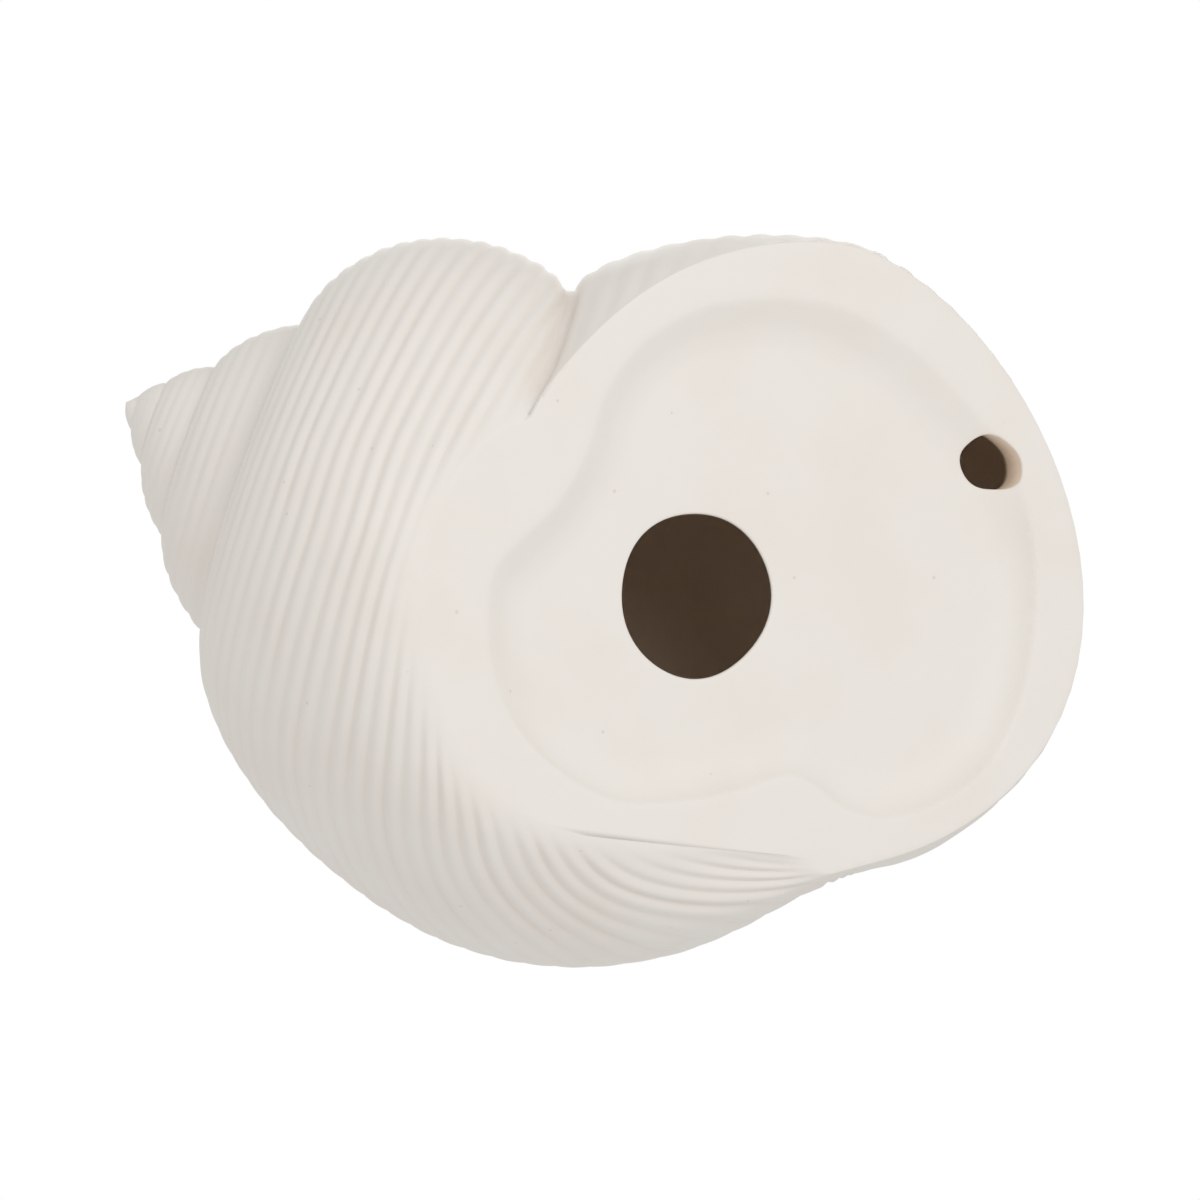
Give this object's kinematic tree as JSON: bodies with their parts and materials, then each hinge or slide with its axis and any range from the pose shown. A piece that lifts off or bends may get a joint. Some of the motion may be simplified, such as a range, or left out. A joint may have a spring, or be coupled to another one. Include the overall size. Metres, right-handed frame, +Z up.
{
  "type": "ceramic bonnet shell ornament",
  "caption": "Hollow cast ceramic bonnet shell with fine spiral ribs, a pointed spire and a flat foot with a sunken panel and a round casting hole.",
  "frame": {"origin": "centre of the bounding box, on the plane of the foot", "axes": "+Z up from the foot, +X along the shell's length from the apex side to the front end, -Y towards the outer lip's shoulder"},
  "size_m": [0.2099, 0.1764, 0.1394],
  "materials": {
    "matte_white_ceramic": "matt off-white, unglazed look, fine spiral ribs"
  },
  "bodies": {
    "root": {"ceramic_shell": "matte_white_ceramic"}
  },
  "joints": []
}
